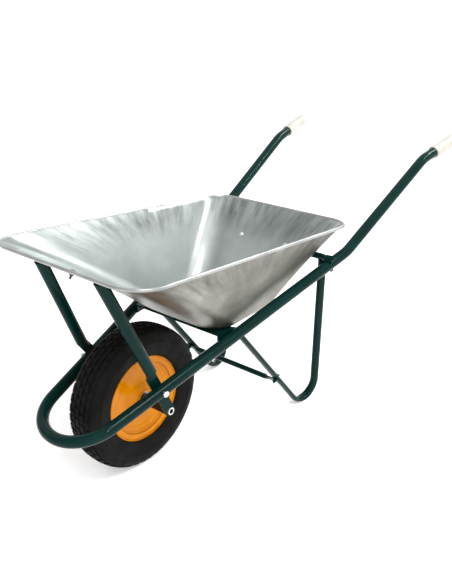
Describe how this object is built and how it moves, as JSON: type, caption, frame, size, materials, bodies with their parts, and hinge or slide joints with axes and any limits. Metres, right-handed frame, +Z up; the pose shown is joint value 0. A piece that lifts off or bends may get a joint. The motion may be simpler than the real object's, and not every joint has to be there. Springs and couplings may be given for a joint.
{
  "type": "wheelbarrow",
  "caption": "Single-wheel builder's wheelbarrow: deep galvanised tray on a bent tubular frame with two legs, a pneumatic wheel on ball bearings and moulded grips.",
  "frame": {"origin": "on the ground, under the middle of the overall box", "axes": "+X forward, towards the wheel; +Y to the left of the person pushing; +Z up"},
  "size_m": [1.4799, 0.6368, 0.7509],
  "materials": {
    "green_paint": "gloss bottle-green powder coat on steel tube",
    "galvanised": "galvanised sheet, satin, lightly scuffed",
    "yellow_paint": "gloss yellow-orange paint on pressed steel",
    "tyre_rubber": "satin black rubber",
    "black_rubber": "matt black butyl",
    "ivory_plastic": "satin ivory plastic",
    "black_plastic": "satin black plastic",
    "bearing_steel": "polished bearing steel",
    "zinc": "bright zinc plate"
  },
  "bodies": {
    "frame": {"axle": "zinc", "bearing_spacer": "bearing_steel", "brace_bolts": "green_paint", "brace_nuts": "green_paint", "bridge_bolts": "green_paint", "bridge_nuts": "green_paint", "frame_tube": "green_paint", "front_stay": "green_paint", "left_axle_spacer": "black_plastic", "left_bearing_inner_ring": "bearing_steel", "left_grip": "ivory_plastic", "left_leg": "green_paint", "leg_brace": "green_paint", "lower_cross_bar": "green_paint", "rear_bridge": "green_paint", "right_axle_spacer": "black_plastic", "right_bearing_inner_ring": "bearing_steel", "right_grip": "ivory_plastic", "right_leg": "green_paint", "rim_wire": "galvanised", "stay_bolts": "zinc", "stay_nuts": "zinc", "tray": "galvanised", "tray_front_bolt": "zinc", "tray_front_nut": "zinc", "tray_rear_bolts": "zinc", "tray_rear_nuts": "zinc"},
    "wheel": {"tyre": "tyre_rubber", "inner_tube": "black_rubber", "rim_hoop": "yellow_paint", "left_wheel_disc": "yellow_paint", "right_wheel_disc": "yellow_paint", "hub": "yellow_paint", "valve_stem": "black_rubber", "valve_cap": "black_plastic", "left_bearing_outer_ring": "bearing_steel", "right_bearing_outer_ring": "bearing_steel"},
    "left_cage": {"left_bearing_balls": "bearing_steel", "left_bearing_cage": "bearing_steel"},
    "right_cage": {"right_bearing_balls": "bearing_steel", "right_bearing_cage": "bearing_steel"}
  },
  "joints": [
    {"name": "wheel_spin", "type": "hinge", "parent": "frame", "child": "wheel", "pos_m": [0.45095, 0, 0.2], "axis": [0, 1, 0], "continuous": true},
    {"name": "left_cage_spin", "type": "hinge", "parent": "frame", "child": "left_cage", "pos_m": [0.45095, 0, 0.2], "axis": [0, 1, 0], "continuous": true},
    {"name": "right_cage_spin", "type": "hinge", "parent": "frame", "child": "right_cage", "pos_m": [0.45095, 0, 0.2], "axis": [0, 1, 0], "continuous": true}
  ],
  "couplings": [
    {"joint": "left_cage_spin", "follows": "wheel_spin", "ratio": 0.6024},
    {"joint": "right_cage_spin", "follows": "wheel_spin", "ratio": 0.6024}
  ]
}
